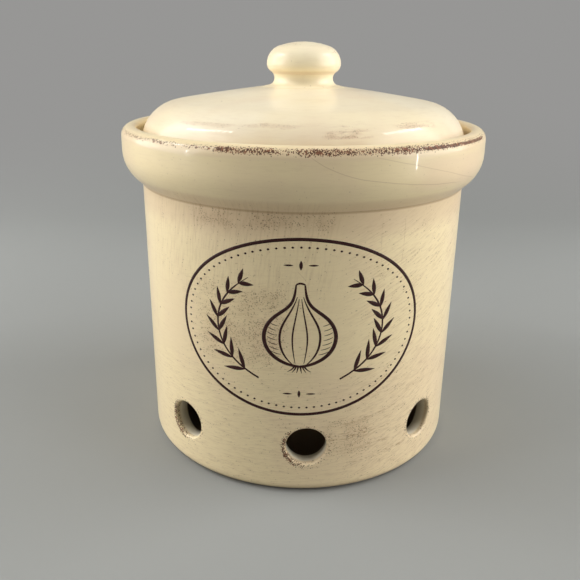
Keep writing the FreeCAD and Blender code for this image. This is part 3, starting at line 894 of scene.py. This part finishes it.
for lift in range(7):
    top = 2.6 - lift * 1.55
    edge = 9.9 - 0.10 * (lift - 2.5) ** 2
    both_sides([(edge, top), (edge - 1.1, top - 0.8), (edge - 2.5 - 0.1 * lift, top - 1.0)],
               [0.05, 0.20, 0.05])

# %% Leafy sprigs
LEAVES = 8


def sprig_point(share):
    """A point on the sprig's curved stem, from its foot below the bulb to its tip."""
    turn = math.radians(-62 + 116 * share)
    return Vector((25.5 * math.cos(turn) + 0.5, 19.0 * math.sin(turn) + 0.5))


both_sides([tuple(sprig_point(i / 9)) for i in range(10)], [0.30] * 8 + [0.22, 0.08])
for leaf in range(LEAVES):
    foot = sprig_point((leaf + 0.9) / (LEAVES + 0.6))
    ahead = (sprig_point((leaf + 1.4) / (LEAVES + 0.6)) - foot).normalized()
    length = 6.4 - 0.32 * leaf
    for hand in (-1, 1):
        reach = ahead * 0.80 + Vector((-ahead.y, ahead.x)) * hand * 0.75
        reach.normalize()
        middle, tip = foot + reach * length * 0.5 + ahead * 0.5, foot + reach * length + ahead * 0.9
        both_sides([tuple(foot), tuple(foot.lerp(middle, 0.55)), tuple(middle), tuple(tip)],
                   [0.12, 0.85, 0.95, 0.05])
for up, size in ((20.4, 1.0), (-20.9, 0.85)):
    stroke([(0, up - size * 1.4), (0, up), (0, up + size * 1.4)], [0.05, size, 0.05])
    both_sides([(2.2, up), (3.6, up), (5.0, up)], [0.05, 0.50, 0.05])

# %% [markdown]
# ## Wrapping the print round the wall
#
# The flat art is cut into narrow upright strips with `bisect_plane`, so that it can bend, and
# each vertex is then moved onto the wall: its sideways place becomes a heading, its depth
# becomes a lift off the glaze of a few hundredths of a millimetre.

# %% Wrap and finish the print
flat = bpy.data.objects.new("print_flat", art)
bpy.context.scene.collection.objects.link(flat)
bpy.context.view_layer.update()
evaluated = flat.evaluated_get(bpy.context.evaluated_depsgraph_get())
ink = bmesh.new()
ink.from_mesh(bpy.data.meshes.new_from_object(evaluated))
bpy.data.objects.remove(flat)
bpy.data.curves.remove(art)
STRIP = 1.5
for strip in range(int(-OVAL_WIDE / STRIP) - 1, int(OVAL_WIDE / STRIP) + 2):
    bmesh.ops.bisect_plane(ink, geom=ink.verts[:] + ink.edges[:] + ink.faces[:],
                           plane_co=(strip * STRIP, 0, 0), plane_no=(1, 0, 0), dist=0.001)
for vert in ink.verts:
    across, up, depth = vert.co
    height = PRINT_HEIGHT + up
    wall = outside_radius(height)
    turn = math.radians(PRINT_HEADING - 90) + across / wall
    lift = wall + max(-INK_LIFT, min(INK_LIFT, depth * 0.5))
    vert.co = Vector((math.cos(turn) * lift, math.sin(turn) * lift, height)) * MM
bmesh.ops.recalc_face_normals(ink, faces=ink.faces)
print_oval = finished(ink, "print_oval", "jar", "jar_glaze")


# %% Ink
SEPIA, FADED_SEPIA = (0.034, 0.009, 0.008, 1), (0.12, 0.045, 0.034, 1)


def sepia_ink():
    graph = Graph("sepia_print")
    fade = graph.step(graph.noise(5, 4.0, rough=0.6, offset=91), 0.52, 0.85)
    grain = graph.step(graph.noise(0.45, 3.0, offset=93), 0.56, 0.74)
    colour = graph.mix(fade * 0.35, SEPIA, FADED_SEPIA)
    colour = graph.mix(grain * 0.10, colour, TAN)
    return graph.surface({"IOR": 1.25, "Coat Weight": 0.08, "Coat Roughness": 0.04},
                         {"Base Color": colour, "Roughness": 0.45 + fade * 0.15})


print_oval.data.materials.append(sepia_ink())

# %% [markdown]
# ## Floor, light and camera
#
# The pot stands on a plain pale floor that curves up close behind it. Two wide soft boxes
# light it from the left and the right, which leaves the middle of the front in soft shade.
# Two small, brighter windows, leant over like panes in a roof, put a highlight on each
# shoulder of the lid, a narrow strip at each side draws a fine glint on the band, and a large
# box overhead lights the top.
#
# A small lit floor looks dark further out. So the floor fades into one even grey there, and the
# world has the same grey. Light Path gives that grey only to rays that the camera or a gloss
# sends out, so it adds no light, and the floor near the pot keeps its shadow.


# %% Floor and backdrop
FLOOR_GREY = (0.27, 0.275, 0.262, 1)
STUDIO_GREY, SEEN = (1.0, 0.99, 0.97, 1), 0.31
FADE_START, FADE_END = 300, 620


def pale_floor():
    """A matt floor that keeps the pot's shadow, and is seen as even studio grey further out."""
    graph = Graph("pale_floor")
    matt = graph.node("ShaderNodeBsdfPrincipled", {},
                      {"Base Color": FLOOR_GREY, "Roughness": 0.9}, "BSDF")
    grey = graph.node("ShaderNodeEmission", {},
                      {"Color": STUDIO_GREY, "Strength": SEEN}, "Emission")
    seen = graph.most(graph.node("ShaderNodeLightPath", {}, {}, "Is Camera Ray"),
                      graph.node("ShaderNodeLightPath", {}, {}, "Is Glossy Ray"))
    far = graph.step(graph.radius, FADE_START, FADE_END) * seen
    both = graph.node("ShaderNodeMixShader", {}, {0: far, 1: matt, 2: grey})
    graph.node("ShaderNodeOutputMaterial", {}, {"Surface": both})
    return graph.material


FLOOR_NEAR, FLOOR_FAR, BEND, WALL_TOP = -2.0, 0.30, 0.35, 2.2
HALF_WIDTH, SINK, BEND_STEPS = 3.0, 0.00002, 12
sweep_profile = [(FLOOR_NEAR, 0.0)]
sweep_profile += [(FLOOR_FAR + BEND * math.sin(a), BEND - BEND * math.cos(a))
                  for a in (math.pi / 2 * i / BEND_STEPS for i in range(BEND_STEPS + 1))]
sweep_profile.append((FLOOR_FAR + BEND, WALL_TOP))
cove = bmesh.new()
line = [cove.verts.new((-HALF_WIDTH, y, z - SINK)) for y, z in sweep_profile]
edges = [cove.edges.new(pair) for pair in zip(line, line[1:])]
wide_strip = bmesh.ops.extrude_edge_only(cove, edges=edges)["geom"]
far_line = [item for item in wide_strip if isinstance(item, bmesh.types.BMVert)]
bmesh.ops.translate(cove, vec=(2 * HALF_WIDTH, 0, 0), verts=far_line)
bmesh.ops.recalc_face_normals(cove, faces=cove.faces)
cove_mesh = bpy.data.meshes.new("studio_floor")
cove.to_mesh(cove_mesh)
cove.free()
cove_mesh.shade_smooth()
floor = bpy.data.objects.new("studio_floor", cove_mesh)
bpy.context.scene.collection.objects.link(floor)
floor.data.materials.append(pale_floor())


# %% Lights
AIM = Vector((0, 0, 0.08))
# Each lamp has a name, azimuth, elevation, distance, width, height, power and lean.
LAMPS = [("wide_left", -92, 22, 0.60, 0.62, 0.54, 4.1, 0),
         ("wide_right", 78, 22, 0.60, 0.62, 0.54, 3.95, 0),
         ("window_left", -93, 47, 0.64, 0.32, 0.045, 0.9, 42),
         ("window_right", 94, 46, 0.64, 0.31, 0.045, 0.8, -29),
         ("strip_left", -71, 7, 0.60, 0.005, 0.23, 0.32, 0),
         ("strip_right", 64, 3, 0.60, 0.005, 0.19, 0.32, 0),
         ("soft_box_top", 0, 86, 0.85, 1.1, 1.0, 2.1, 0)]


def soft_box(name, azimuth, elevation, distance, width, height, power, lean):
    """An area light aimed at the pot; azimuth 0 is in front of it and 90 on its right."""
    turn, lift = math.radians(azimuth), math.radians(elevation)
    place = Vector((math.sin(turn) * math.cos(lift), -math.cos(turn) * math.cos(lift),
                    math.sin(lift))) * distance + AIM
    light = bpy.data.lights.new(name, "AREA")
    light.shape = "RECTANGLE"
    light.size, light.size_y, light.energy = width, height, power
    lamp = bpy.data.objects.new(name, light)
    aimed = (AIM - place).to_track_quat("-Z", "Y").to_matrix().to_4x4()
    leant = Matrix.Rotation(math.radians(lean), 4, "Z")
    lamp.matrix_world = Matrix.Translation(place) @ aimed @ leant
    bpy.context.scene.collection.objects.link(lamp)


for lamp_values in LAMPS:
    soft_box(*lamp_values)

# %% World
WORLD_LIGHT = 0.03
world = bpy.data.worlds.new("pale_world")
world.use_nodes = True
background = world.node_tree.nodes["Background"]
background.inputs["Color"].default_value = STUDIO_GREY
rays = world.node_tree.nodes.new("ShaderNodeLightPath")
seen = world.node_tree.nodes.new("ShaderNodeMath")
seen.operation = "MAXIMUM"
world.node_tree.links.new(rays.outputs["Is Camera Ray"], seen.inputs[0])
world.node_tree.links.new(rays.outputs["Is Glossy Ray"], seen.inputs[1])
strength = world.node_tree.nodes.new("ShaderNodeMapRange")
strength.inputs["To Min"].default_value = WORLD_LIGHT
strength.inputs["To Max"].default_value = SEEN
world.node_tree.links.new(seen.outputs[0], strength.inputs["Value"])
world.node_tree.links.new(strength.outputs["Result"], background.inputs["Strength"])
bpy.context.scene.world = world

# %% [markdown]
# ## Camera
#
# The camera stands a little above the knob's height, quite close, and looks down on the pot.
# Its place and its three angles are named values. The pot's front vent is turned a few
# degrees to the right of the view, so the camera goes round the pot by that much.

# %% Camera
CAMERA_DISTANCE, CAMERA_HEIGHT = 224.26, 134.98
YAW, PITCH, ROLL = -0.01718, 0.36538, -0.01052
FRONT_VENT_TURN = 0.05
FOCAL_PIXELS, FRAME_PIXELS, SENSOR = 629.8, 580, 36.0
level = Matrix.Rotation(math.pi / 2, 4, "X")
turned = Matrix.Rotation(-YAW, 4, "Z") @ level @ Matrix.Rotation(-PITCH, 4, "X")
turned = turned @ Matrix.Rotation(-ROLL, 4, "Z")
stand = Matrix.Translation(Vector((0, -CAMERA_DISTANCE, CAMERA_HEIGHT)) * MM)
view = bpy.data.cameras.new("view")
view.sensor_width = SENSOR
view.lens = SENSOR * FOCAL_PIXELS / FRAME_PIXELS
view.clip_start = 0.01
camera = bpy.data.objects.new("view", view)
camera.matrix_world = Matrix.Rotation(-FRONT_VENT_TURN, 4, "Z") @ stand @ turned
bpy.context.scene.collection.objects.link(camera)
bpy.context.scene.camera = camera
bpy.context.scene.view_settings.view_transform = "Standard"
print("lens", round(view.lens, 2), "mm")
